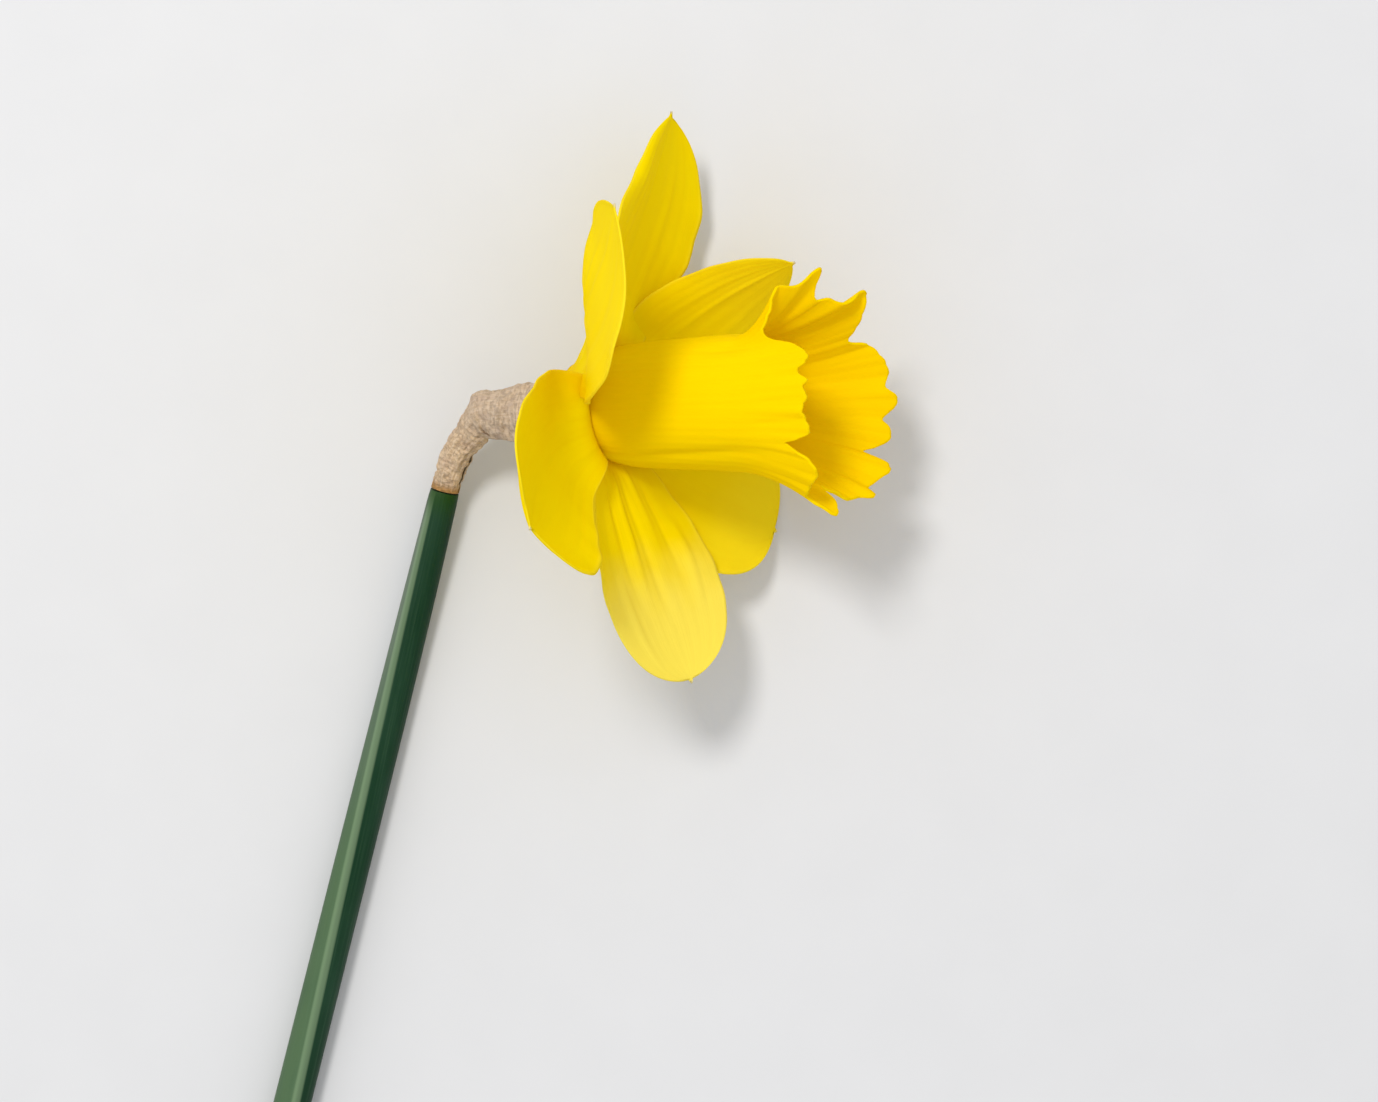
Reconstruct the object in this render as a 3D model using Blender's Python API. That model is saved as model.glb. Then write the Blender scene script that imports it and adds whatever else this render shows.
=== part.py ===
"""Trumpet daffodil, one cut flower lying on a flat surface.

Metres, +Z up, with the surface at z = 0. Sizes below are in millimetres and are scaled by MM.
The stem lies on the surface. Two of the tepals touch it too, and they hold the head up.
The head has its own frame, flower_axis: local +Z runs out through the trumpet, local +X is level,
and local +Y is the side that faces up. Its origin is where the axis meets the ring of tepals.
"""
import math

import bmesh
import bpy
import numpy as np
from mathutils import Matrix, Vector
from mathutils.geometry import interpolate_bezier

MM = 0.001
GAP = 0.3                    # clearance between neighbouring pieces

# The head: where its centre is, and how far its axis rises out of the level
CENTRE = (11.27, 67.78, 24.33)
AXIS_RISE = 23.5

# Floral tube, from the ovary up to the ring of tepals
TUBE_BOTTOM = -14.0
TUBE_TOP = -0.9
TUBE_WALL = 0.8
TUBE_NARROW = 2.8
TUBE_WIDE = 7.2

# Trumpet (corona): a nearly straight tube whose rim flares and is ruffled
TRUMPET_START = -0.2
TRUMPET_END = 48.0
TRUMPET_WALL = 0.8
TRUMPET_RADIUS = 10.6
TRUMPET_TAPER = 0.05         # growth in radius for each mm of length
TRUMPET_NECK = 3.6           # how much narrower it is where it leaves the floral tube
TRUMPET_NECK_LENGTH = 2.6
FLARE_START = 22.0
FLARE = 7.0
FLARE_POWER = 2.4
RUFFLES = 6
RUFFLE_DEPTH = 1.1
LOBES = 12
LOBE_DEPTH = 1.3

# Tepals: an outer and an inner whorl of three
TEPAL_THICKNESS = 0.6
TEPAL_RING = 8.3             # radius of the ring where they start
TEPAL_BASE = 3.8             # half the width there
CLAW = 0.05                  # part of the length over which the base turns into the blade
TEPAL_BASE_LEAN = 75.0       # at its base a tepal runs nearly along the axis
TEPAL_BASE_WRAP = 32.0       # its section wraps the tube there
OUTER_START = -2.5
INNER_START = -1.5
WIDEST = 1.0 / 1.52          # the widest place, as a part of the length
TIP_POWER = 0.52             # bluntness of the tip

# Each tepal: ring is the angle round the ring where it starts, and heading the angle it grows
# towards. lean is measured from the plane across the axis at base and tip, and bow is what is
# added half way. sway bends it sideways, twist turns its section, and cup bends the section.
TEPALS = {
    "outer_tepal_1": {"ring": 0, "heading": -9.5, "length": 48.0, "half_width": 16.7,
                      "lean": (14.5, 4.0), "bow": 4.0, "sway": -9.5, "twist": (-1.0, 7.0), "cup": 24.0},
    "inner_tepal_1": {"ring": 60, "heading": 60.0, "length": 46.5, "half_width": 12.8,
                      "lean": (7.5, 12.0), "bow": 25.0, "sway": -33.0, "twist": (6.5, 38.0), "cup": 1.5},
    "outer_tepal_2": {"ring": 120, "heading": 105.5, "length": 48.6, "half_width": 18.6,
                      "lean": (3.0, 19.0), "bow": 1.5, "sway": 15.0, "twist": (9.5, 10.5), "cup": 32.0},
    "inner_tepal_2": {"ring": 180, "heading": 184.0, "length": 46.5, "half_width": 14.6,
                      "lean": (36.0, 22.0), "bow": -11.0, "sway": 3.0, "twist": (11.0, 25.5), "cup": 9.5},
    "outer_tepal_3": {"ring": 240, "heading": 228.5, "length": 40.3, "half_width": 16.0,
                      "lean": (25.5, 27.7), "bow": 11.4, "sway": 11.5, "twist": (2.5, 2.5), "cup": 16.5},
    "inner_tepal_3": {"ring": 300, "heading": 314.0, "length": 42.0, "half_width": 13.3,
                      "lean": (26.5, 67.0), "bow": -3.5, "sway": 20.0, "twist": (-15.0, 27.0), "cup": -1.0},
}

# Stamens and pistil, inside the tube and the trumpet
STAMENS = 6
FILAMENT_BOTTOM = -8.0
FILAMENT_TOP = 17.0
FILAMENT_RADIUS = 0.5
FILAMENT_OUT = (2.9, 3.3)    # distance from the axis at the bottom and at the top
ANTHER_LENGTH = 9.0
ANTHER_WIDTH = 1.9
STYLE_TOP = 32.0
STYLE_RADIUS = 0.65
STIGMA_LENGTH = 2.4
STIGMA_RADIUS = 1.7
OVARY_LENGTH = 8.0
OVARY_RADIUS = 3.2
OVARY_TOP = TUBE_BOTTOM - GAP
OVARY_BOTTOM = OVARY_TOP - OVARY_LENGTH

# Stem: from its top it sinks to the surface and lies on it up to the cut end
STEM_TOP = Vector((-28.4, -15.3, -18.0))
STEM_HEADING = Vector((-0.243, -0.970, 0.0)).normalized()
STEM_LENGTH = 178.0
STEM_TOP_RADIUS = 2.8
STEM_GROWTH = 0.85           # how much thicker it gets towards the cut end
STEM_GROWTH_LENGTH = 38.0
STEM_SINK_LENGTH = 45.0
KEEL = 0.09                  # two blunt edges run down the stem
KEEL_TURN = (165.0, 55.0)    # where one edge is at the top, and where at the cut end
PEDICEL_RADIUS = (1.5, 1.9)  # at the stem and at the ovary
NECK_EASE = (3.0, 3.0)       # how far the neck keeps the direction of its bottom and of its top

# Spathe: the dry papery sheath round the pedicel and the ovary, split down one side
SPATHE_WALL = 0.5
SPATHE_RADII = (2.4, 2.8, 3.5, 4.2, 5.0)
SPATHE_END = -11.5           # where it ends along the flower's axis
SPATHE_SPLIT = (10.0, 42.0)  # half the angle of the split at the base and at the mouth
SPATHE_SPLIT_SIDE = Vector((0.7, -0.7, 0.0))


def clear_scene():
    for obj in list(bpy.data.objects):
        bpy.data.objects.remove(obj, do_unlink=True)


def material(name, colour, roughness):
    """A plain Principled material, not metallic."""
    mat = bpy.data.materials.new(name)
    mat.use_nodes = True
    shader = mat.node_tree.nodes["Principled BSDF"]
    shader.inputs["Base Color"].default_value = (*colour, 1.0)
    shader.inputs["Roughness"].default_value = roughness
    shader.inputs["Metallic"].default_value = 0.0
    mat.diffuse_color = (*colour, 1.0)
    return mat


def finish(name, bm, colour, roughness, parent):
    """Turn a bmesh in millimetres into a smooth-shaded object that rides on an empty."""
    bmesh.ops.scale(bm, vec=(MM, MM, MM), verts=bm.verts)
    mesh = bpy.data.meshes.new(name)
    bm.to_mesh(mesh)
    bm.free()
    mesh.shade_smooth()
    mesh.set_sharp_from_angle(angle=math.radians(50))
    obj = bpy.data.objects.new(name, mesh)
    obj.data.materials.append(material(name, colour, roughness))
    obj.parent = parent
    bpy.context.scene.collection.objects.link(obj)
    return obj


def thicken(obj, thickness):
    """Give a thin surface its wall, half on each side."""
    solidify = obj.modifiers.new("wall", "SOLIDIFY")
    solidify.thickness = thickness * MM
    solidify.offset = 0.0
    solidify.use_even_offset = True


def sheet(rows, columns, place):
    """A sheet of rows x columns quads; place(row, column) gives each point in millimetres."""
    bm = bmesh.new()
    bmesh.ops.create_grid(bm, x_segments=rows, y_segments=columns, size=0.5)
    for vert in bm.verts:
        row = round((vert.co.x + 0.5) * rows)
        column = round((vert.co.y + 0.5) * columns)
        vert.co = place(row, column)
    return bm


def pipe(sides, rings, place, capped=True):
    """A tube bent into shape; place(angle, f) gives each point, with f from 0 to 1 along it."""
    bm = bmesh.new()
    bmesh.ops.create_cone(bm, cap_ends=capped, segments=sides, radius1=1.0, radius2=1.0, depth=1.0)
    long_edges = [edge for edge in bm.edges if abs(edge.verts[0].co.z - edge.verts[1].co.z) > 0.5]
    bmesh.ops.subdivide_edges(bm, edges=long_edges, cuts=rings - 1)
    for vert in bm.verts:
        vert.co = place(math.atan2(vert.co.y, vert.co.x), vert.co.z + 0.5)
    return bm


def between(pair, f):
    return pair[0] + (pair[1] - pair[0]) * f


def axis_direction():
    rise = math.radians(AXIS_RISE)
    return Vector((math.cos(rise), 0.0, math.sin(rise)))


def make_empties():
    """The head's centre, which keeps the world's directions, and the flower's tilted axis."""
    centre = bpy.data.objects.new("flower_centre", None)
    centre.location = Vector(CENTRE) * MM
    bpy.context.scene.collection.objects.link(centre)
    axis = bpy.data.objects.new("flower_axis", None)
    out = axis_direction()
    level = Vector((0.0, 1.0, 0.0))
    columns = Matrix((level, out.cross(level), out)).transposed()
    axis.rotation_euler = columns.to_euler()
    axis.parent = centre
    bpy.context.scene.collection.objects.link(axis)
    return centre, axis


def tube_radius(z):
    along = (z - TUBE_BOTTOM) / (TUBE_TOP - TUBE_BOTTOM)
    return TUBE_NARROW + (TUBE_WIDE - TUBE_NARROW) * along ** 1.5


def make_tube(axis):
    def place(angle, f):
        z = between((TUBE_BOTTOM, TUBE_TOP), f)
        radius = tube_radius(z)
        return (radius * math.cos(angle), radius * math.sin(angle), z)

    bm = pipe(24, 6, place, capped=False)
    tube = finish("floral_tube", bm, (0.62, 0.55, 0.05), 0.5, axis)
    thicken(tube, TUBE_WALL)


def trumpet_radius(z):
    neck = TRUMPET_NECK * math.exp(-(z - TRUMPET_START) / TRUMPET_NECK_LENGTH)
    flare = max(0.0, z - FLARE_START) / (TRUMPET_END - FLARE_START)
    return TRUMPET_RADIUS + TRUMPET_TAPER * z - neck + FLARE * flare ** FLARE_POWER


def make_trumpet(axis):
    def place(angle, f):
        z = TRUMPET_START + (TRUMPET_END - TRUMPET_START) * f ** 0.9
        ruffle = RUFFLE_DEPTH * math.cos(RUFFLES * angle) * f ** 4
        lobe = LOBE_DEPTH * math.cos(LOBES * angle + 0.6) * f ** 6
        radius = trumpet_radius(z) + ruffle
        return (radius * math.cos(angle), radius * math.sin(angle), z + lobe)

    bm = pipe(60, 12, place, capped=False)
    trumpet = finish("trumpet", bm, (0.95, 0.62, 0.0), 0.45, axis)
    thicken(trumpet, TRUMPET_WALL)


def tepal_half_width(s, half_width):
    """Half the width at s along the tepal: a claw at the base, widest past the middle."""
    peak = WIDEST * (1.0 - WIDEST) ** TIP_POWER
    claw = TEPAL_BASE * (1.0 - s) ** 2
    blade = half_width - TEPAL_BASE * (1.0 - WIDEST) ** 2
    return claw + blade * s * (1.0 - s) ** TIP_POWER / peak


def tepal_midrib(shape, start, count=240):
    """Stations along the midrib: point, direction across and normal, as arrays."""
    radial = math.radians(shape["heading"])
    out = np.array([math.cos(radial), math.sin(radial), 0.0])
    side = np.array([-math.sin(radial), math.cos(radial), 0.0])
    axis = np.array([0.0, 0.0, 1.0])
    ring = math.radians(shape["ring"])
    f = np.linspace(0.0, 1.0, count + 1)[:, None]
    lean_base, lean_tip = shape["lean"]
    lean = lean_base + (lean_tip - lean_base) * f + shape["bow"] * np.sin(np.pi * f)
    claw = np.exp(-f / CLAW)
    lean = np.radians(lean + (TEPAL_BASE_LEAN - lean_base) * claw)
    sway = np.radians(shape["sway"] * f + (shape["ring"] - shape["heading"]) * claw)
    outward = np.cos(sway) * out + np.sin(sway) * side
    direction = np.cos(lean) * outward + np.sin(lean) * axis
    steps = (direction[1:] + direction[:-1]) / 2.0 * shape["length"] / count
    first = np.array([TEPAL_RING * math.cos(ring), TEPAL_RING * math.sin(ring), start])
    points = first + np.vstack([np.zeros(3), np.cumsum(steps, axis=0)])
    normal = -np.sin(lean) * outward + np.cos(lean) * axis
    across = -np.sin(sway) * out + np.cos(sway) * side
    twist_base, twist_tip = shape["twist"]
    twist = np.radians(twist_base + (twist_tip - twist_base) * f) * (1.0 - claw)
    turned_across = np.cos(twist) * across + np.sin(twist) * normal
    turned_normal = -np.sin(twist) * across + np.cos(twist) * normal
    return points, turned_across, turned_normal


def tepal_section(s, cup, columns):
    """Sideways and upward offsets across a section that is 2 wide, from edge to edge."""
    wrap = math.exp(-s / 0.12) * TEPAL_BASE_WRAP
    bend = math.radians(cup * (1.0 - math.exp(-(s / 0.3) ** 2)) + wrap)
    steps = 40
    t = np.linspace(-1.0, 1.0, columns * steps + 1)
    width = np.cumsum(np.cos(bend * t)) / steps / columns * 2.0
    height = np.cumsum(np.sin(bend * t)) / steps / columns * 2.0
    middle = len(t) // 2
    return (width - width[middle])[::steps], (height - height[middle])[::steps]


def make_tepals(axis):
    rows = 14
    columns = 8
    for name, shape in TEPALS.items():
        start = OUTER_START if name.startswith("outer") else INNER_START
        points, across, normal = tepal_midrib(shape, start)

        def place(row, column):
            s = 1.0 - (1.0 - row / rows) ** 1.6
            s = min(s, 0.9985)
            station = round(s * (len(points) - 1))
            half = tepal_half_width(s, shape["half_width"])
            width, height = tepal_section(s, shape["cup"], columns)
            offset = across[station] * width[column] + normal[station] * height[column]
            return Vector(points[station] + half * offset)

        colour = (0.90, 0.68, 0.0) if name.startswith("outer") else (0.95, 0.75, 0.01)
        tepal = finish(name, sheet(rows, columns, place), colour, 0.45, axis)
        thicken(tepal, TEPAL_THICKNESS)


def make_stamens(axis):
    filament_length = FILAMENT_TOP - FILAMENT_BOTTOM
    for index in range(STAMENS):
        turn = math.radians(30.0 + 360.0 / STAMENS * index)
        out = Vector((math.cos(turn), math.sin(turn), 0.0))

        def place(angle, f):
            radius = between(FILAMENT_OUT, f)
            thin = FILAMENT_RADIUS * (1.0 - 0.3 * f)
            centre = out * radius + Vector((0.0, 0.0, FILAMENT_BOTTOM + filament_length * f))
            return centre + Vector((math.cos(angle), math.sin(angle), 0.0)) * thin

        finish(f"filament_{index + 1}", pipe(8, 4, place), (0.80, 0.70, 0.12), 0.5, axis)

        bm = bmesh.new()
        bmesh.ops.create_icosphere(bm, subdivisions=2, radius=1.0)
        half = (ANTHER_WIDTH / 2, ANTHER_WIDTH / 2, ANTHER_LENGTH / 2)
        bmesh.ops.scale(bm, vec=half, verts=bm.verts)
        middle = FILAMENT_TOP + GAP + ANTHER_LENGTH / 2
        bmesh.ops.translate(bm, vec=out * FILAMENT_OUT[1] + Vector((0, 0, middle)), verts=bm.verts)
        finish(f"anther_{index + 1}", bm, (0.85, 0.55, 0.06), 0.8, axis)


def make_pistil(axis):
    """The ovary below the tube, and the style up the middle with its three-lobed stigma."""
    def ovary_point(angle, f):
        lobes = 1.0 + 0.06 * math.cos(3.0 * angle)
        radius = (1.7 + (OVARY_RADIUS - 1.7) * math.sin(math.pi * f) ** 0.8) * lobes
        z = between((OVARY_BOTTOM, OVARY_TOP), f)
        return (radius * math.cos(angle), radius * math.sin(angle), z)

    finish("ovary", pipe(18, 8, ovary_point), (0.22, 0.36, 0.06), 0.5, axis)

    def style_point(angle, f):
        z = between((OVARY_TOP + GAP, STYLE_TOP), f)
        return (STYLE_RADIUS * math.cos(angle), STYLE_RADIUS * math.sin(angle), z)

    finish("style", pipe(8, 6, style_point), (0.85, 0.78, 0.20), 0.5, axis)

    def stigma_point(angle, f):
        lobes = 1.0 + 0.22 * math.cos(3.0 * angle)
        radius = (0.7 + (STIGMA_RADIUS - 0.7) * f ** 0.7) * lobes
        z = STYLE_TOP + GAP + STIGMA_LENGTH * f
        return (radius * math.cos(angle), radius * math.sin(angle), z)

    finish("stigma", pipe(18, 4, stigma_point), (0.80, 0.78, 0.30), 0.6, axis)


def stem_radius(along):
    return STEM_TOP_RADIUS + STEM_GROWTH * (1.0 - math.exp(-along / STEM_GROWTH_LENGTH))


def stem_section(angle, along):
    """Sideways and upward offsets of the keeled section at a distance down the stem."""
    keel = math.radians(between(KEEL_TURN, along / STEM_LENGTH))
    radius = stem_radius(along) * (1.0 + KEEL * abs(math.cos(angle - keel)) ** 6)
    return radius * math.cos(angle), radius * math.sin(angle)


def stem_rest_height(along):
    """Height of the stem's middle where its section rests on the surface."""
    angles = [math.radians(a) for a in range(180, 361, 3)]
    return -min(stem_section(angle, along)[1] for angle in angles)


def stem_sink():
    """How far the stem's top is above where it would be if it lay flat."""
    return CENTRE[2] + STEM_TOP.z - stem_rest_height(0.0)


def stem_middle(along):
    sink = stem_sink() * max(0.0, 1.0 - along / STEM_SINK_LENGTH) ** 2
    point = STEM_TOP + STEM_HEADING * along
    point.z = stem_rest_height(along) + sink - CENTRE[2]
    return point


def stem_slope(along):
    """Unit direction down the stem; only the sinking part is off the level."""
    fall = 2.0 * stem_sink() / STEM_SINK_LENGTH * max(0.0, 1.0 - along / STEM_SINK_LENGTH)
    return Vector((STEM_HEADING.x, STEM_HEADING.y, -fall)).normalized()


def make_stem(centre):
    def place(angle, f):
        along = STEM_LENGTH * f
        down_stem = stem_slope(along)
        sideways = Vector((0.0, 0.0, 1.0)).cross(STEM_HEADING).normalized()
        upward = down_stem.cross(sideways)
        across, up = stem_section(angle, along)
        return stem_middle(along) + sideways * across + upward * up

    finish("stem", pipe(20, 30, place), (0.10, 0.22, 0.08), 0.5, centre)


def neck_path(count=24):
    """Smooth path from the top of the stem up to the bottom of the ovary."""
    up_stem = -stem_slope(0.0)
    bottom = STEM_TOP + up_stem * GAP
    top = axis_direction() * (OVARY_BOTTOM - GAP)
    bottom_handle = bottom + up_stem * NECK_EASE[0]
    top_handle = top - axis_direction() * NECK_EASE[1]
    return interpolate_bezier(bottom, bottom_handle, top_handle, top, count)


def path_frame(points, index, side):
    """Unit tangent, the given side made square to it, and the third direction."""
    ahead = points[min(index + 1, len(points) - 1)]
    behind = points[max(index - 1, 0)]
    tangent = (ahead - behind).normalized()
    square = (side - tangent * side.dot(tangent)).normalized()
    return tangent, square, tangent.cross(square)


def make_pedicel(centre):
    points = neck_path()

    def place(angle, f):
        index = round(f * (len(points) - 1))
        tangent, square, third = path_frame(points, index, SPATHE_SPLIT_SIDE)
        radius = between(PEDICEL_RADIUS, f ** 3)
        return points[index] + (square * math.cos(angle) + third * math.sin(angle)) * radius

    finish("pedicel", pipe(12, len(points) - 1, place), (0.22, 0.36, 0.08), 0.5, centre)


def make_spathe(centre):
    """An open sheath: a curved sheet wrapped round the pedicel and the ovary."""
    neck = neck_path(16)
    run = SPATHE_END - OVARY_BOTTOM
    ovary_part = [axis_direction() * (OVARY_BOTTOM + run * (step + 1) / 6) for step in range(6)]
    points = neck + ovary_part
    rows = len(points) - 1
    columns = 16

    def place(row, column):
        f = row / rows
        tangent, square, third = path_frame(points, row, SPATHE_SPLIT_SIDE)
        radius = np.interp(f, np.linspace(0.0, 1.0, len(SPATHE_RADII)), SPATHE_RADII)
        half = math.radians(180.0 - between(SPATHE_SPLIT, f))
        angle = math.pi + half * (2.0 * column / columns - 1.0)
        return points[row] + (square * math.cos(angle) + third * math.sin(angle)) * float(radius)

    spathe = finish("spathe", sheet(rows, columns, place), (0.50, 0.36, 0.24), 0.8, centre)
    thicken(spathe, SPATHE_WALL)


def main():
    clear_scene()
    centre, axis = make_empties()
    make_stem(centre)
    make_spathe(centre)
    make_pedicel(centre)
    make_pistil(axis)
    make_tube(axis)
    make_tepals(axis)
    make_trumpet(axis)
    make_stamens(axis)


main()
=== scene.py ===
import math

import bmesh
import bpy
import numpy as np
from mathutils import Matrix, Vector, noise
from mathutils.geometry import interpolate_bezier


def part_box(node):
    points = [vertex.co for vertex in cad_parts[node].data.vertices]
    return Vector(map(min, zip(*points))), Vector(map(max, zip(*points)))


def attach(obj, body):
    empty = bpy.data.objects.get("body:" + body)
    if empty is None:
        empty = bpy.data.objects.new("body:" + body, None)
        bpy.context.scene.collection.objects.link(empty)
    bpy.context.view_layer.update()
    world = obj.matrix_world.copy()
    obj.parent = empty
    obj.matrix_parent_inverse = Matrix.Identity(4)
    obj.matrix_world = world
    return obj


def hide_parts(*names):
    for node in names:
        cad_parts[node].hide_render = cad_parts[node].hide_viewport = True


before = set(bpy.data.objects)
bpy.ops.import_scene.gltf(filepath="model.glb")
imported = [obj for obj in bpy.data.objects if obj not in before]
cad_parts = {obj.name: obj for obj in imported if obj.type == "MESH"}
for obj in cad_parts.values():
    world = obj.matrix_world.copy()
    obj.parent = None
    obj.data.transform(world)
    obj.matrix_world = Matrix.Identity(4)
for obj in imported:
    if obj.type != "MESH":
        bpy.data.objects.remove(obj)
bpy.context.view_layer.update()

# ---------------------------------------------------------------------------------------------
# Camera. The flower lies on its side on a surface, and the camera looks straight down on it.
# The flower's own axis comes from the frame: it runs through the style and the ring of anthers.
# ---------------------------------------------------------------------------------------------
MM = 0.001
STAMENS = 6
STYLE_MIDDLE = 9.0           # how far along the flower's axis the middle of the style is
CAMERA_HEIGHT = 0.8          # in metres, above the flower's centre
CAMERA_ASIDE = (0.01656, -0.02628)
CAMERA_REACH = 10.0
FIELD_WIDTH = 0.24804        # what the camera takes in across, at the flower's centre


def middle(node):
    """The middle of the box round one node of the frame."""
    low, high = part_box(node)
    return (low + high) / 2.0


anther_middles = [middle(f"anther_{index + 1}") for index in range(STAMENS)]
anther_middle = sum(anther_middles, Vector()) / STAMENS
AXIS = (anther_middle - middle("style")).normalized()
LEVEL = Vector((0.0, 1.0, 0.0))
UPSIDE = AXIS.cross(LEVEL)
CENTRE = middle("style") - AXIS * STYLE_MIDDLE * MM

camera_data = bpy.data.cameras.new("camera")
camera_data.lens = camera_data.sensor_width * CAMERA_HEIGHT / FIELD_WIDTH
camera_data.clip_end = CAMERA_REACH
camera = bpy.data.objects.new("camera", camera_data)
camera.location = CENTRE + Vector((*CAMERA_ASIDE, CAMERA_HEIGHT))
bpy.context.scene.collection.objects.link(camera)
bpy.context.scene.camera = camera

# Two placings, both from millimetres. Along the head, +Z is out through the trumpet, +X is level
# and +Y is the side that faces up. The neck and the stem keep the surface's directions.
HEAD = Matrix.Translation(CENTRE) @ Matrix((LEVEL, UPSIDE, AXIS)).transposed().to_4x4()
HEAD = HEAD @ Matrix.Scale(MM, 4)
NECK = Matrix.Translation(CENTRE) @ Matrix.Scale(MM, 4)

# ---------------------------------------------------------------------------------------------
# Stem: a bare, leafless flower stalk, green and waxy, with two blunt edges that turn slowly
# round it. It lies on the surface and rises to the neck. Its end is cut square, and the rind
# there stands round a pale pith with a small hollow in it.
# ---------------------------------------------------------------------------------------------
STEM_TOP = Vector((-28.4, -15.3, -18.0))
STEM_HEADING = Vector((-0.243, -0.970, 0.0)).normalized()
STEM_LENGTH = 178.0
STEM_SIDES = 72
STEM_RINGS = 220
STEM_TOP_RADIUS = 2.8
STEM_GROWTH = 0.85           # how much thicker it gets towards the cut end
STEM_GROWTH_LENGTH = 38.0
STEM_SINK_LENGTH = 45.0      # how far from its top it takes to come down to the surface
STEM_KEEL = 0.10             # how far the two edges stand out, as a share of the radius
STEM_KEEL_POWER = 14
STEM_KEEL_TURN = (130.0, 50.0)
STEM_FLAT = 0.06             # how much the faces between the two edges are flattened
STEM_RIBS = 26.0
STEM_RIB_DEPTH = 0.02
STEM_RIB_DRIFT = 0.02
STEM_NIP = 0.10              # how much it draws in under the spathe
STEM_NIP_LENGTH = 0.8
CUT_STEPS = ((0.35, 0.12), (0.25, -0.28), (0.9, -0.10), (0.45, -0.12), (0.25, -1.4), (0.1, -1.6))
PITH_DEPTH = 4.0
RIND = 0.75
# The next three are painted light and shade: the stem's dark side in shade, and its lit strip,
# duller further down.
STEM_PAINTED_SHADE = (0.003, 0.029, 0.010)
STEM_PAINTED_LIT = (0.118, 0.160, 0.112)
STEM_PAINTED_LIT_LOWER = (0.070, 0.128, 0.060)
STEM_BLOTCH = (0.024, 0.068, 0.037)
STEM_RIB = (0.12, 0.22, 0.13)
# A painted highlight along the stem's two edges.
STEM_PAINTED_RIDGE_HIGHLIGHT = (0.22, 0.32, 0.18)
# Painted shade where the spathe covers the top of the stem.
STEM_SHADE_UNDER_SPATHE = (0.012, 0.050, 0.004)
PITH_COLOUR = (0.62, 0.70, 0.36)
PITH_CELL_COLOUR = (0.40, 0.52, 0.20)


class Field:
    """A socket in a material. Sums and products of fields add their Math nodes."""

    def __init__(self, tree, socket=None):
        self.tree = tree
        self.socket = socket

    def node(self, kind, settings=(), sockets=(), output=0):
        """Any node: its settings are set first, and then its sockets are filled or linked."""
        made = self.tree.nodes.new(kind)
        for name, value in dict(settings).items():
            setattr(made, name, value)
        for name, value in dict(sockets).items():
            if isinstance(value, Field):
                self.tree.links.new(value.socket, made.inputs[name])
            elif isinstance(value, tuple) and len(value) == 3 and made.inputs[name].type == "RGBA":
                made.inputs[name].default_value = (*value, 1.0)
            else:
                made.inputs[name].default_value = value
        return Field(self.tree, made.outputs[output] if made.outputs else None)

    def math(self, operation, first, second=0.0):
        return self.node("ShaderNodeMath", {"operation": operation}, {0: first, 1: second})

    def __add__(self, other):
        return self.math("ADD", self, other)

    __radd__ = __add__

    def __sub__(self, other):
        return self.math("SUBTRACT", self, other)

    def __rsub__(self, other):
        return self.math("SUBTRACT", other, self)

    def __mul__(self, other):
        return self.math("MULTIPLY", self, other)

    __rmul__ = __mul__

    def size(self):
        return self.math("ABSOLUTE", self)

    def step(self, low, high):
        """0 below low, 1 above high, and smooth in between; low may be the larger."""
        sockets = {"Value": self, "From Min": low, "From Max": high}
        return self.node("ShaderNodeMapRange", {"interpolation_type": "SMOOTHSTEP"}, sockets)

    def mix(self, first, second):
        """The first colour where this field is 0 and the second where it is 1."""
        sockets = {0: self, 6: first, 7: second}
        return self.node("ShaderNodeMix", {"data_type": "RGBA"}, sockets, output=2)

    def spread(self, x, y, z):
        """This vector stretched along each of its directions."""
        sockets = {0: self, 1: (x, y, z)}
        return self.node("ShaderNodeVectorMath", {"operation": "MULTIPLY"}, sockets)

    def noise(self, scale, detail=3.0, roughness=0.5):
        """Soft noise from 0 to 1 at this vector."""
        sockets = {"Vector": self, "Scale": scale, "Detail": detail, "Roughness": roughness}
        return self.node("ShaderNodeTexNoise", {}, sockets)

    def part(self, index):
        """One direction of this vector."""
        return self.node("ShaderNodeSeparateXYZ", {}, {0: self}, output=index)


def new_material(name):
    """An empty material, and the fields that its patterns start from: the place on the piece,
    in metres, and flow, which follows the piece's growth, in millimetres."""
    material = bpy.data.materials.new(name)
    material.use_nodes = True
    material.node_tree.nodes.clear()
    start = Field(material.node_tree)
    place = start.node("ShaderNodeTexCoord", output=3)
    flow = start.node("ShaderNodeAttribute", {"attribute_name": "flow"}, output=1)
    return material, place, flow


def bump(height, depth):
    """A normal from a height field, with its depth in metres."""
    sockets = {"Height": height, "Distance": depth, "Strength": 1.0}
    return height.node("ShaderNodeBump", {}, sockets)


def dress(material, through=0.0, through_colour=None, **sockets):
    """The surface itself, with a share of light that comes through from behind."""
    names = {"colour": "Base Color", "roughness": "Roughness", "normal": "Normal",
             "specular": "Specular IOR Level"}
    start = Field(material.node_tree)
    filled = {names[name]: value for name, value in sockets.items()}
    surface = start.node("ShaderNodeBsdfPrincipled", {}, filled)
    if through:
        behind = start.node("ShaderNodeBsdfTranslucent", {}, {"Color": through_colour})
        surface = start.node("ShaderNodeMixShader", {}, {0: through, 1: surface, 2: behind})
    start.node("ShaderNodeOutputMaterial", {}, {"Surface": surface})


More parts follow.
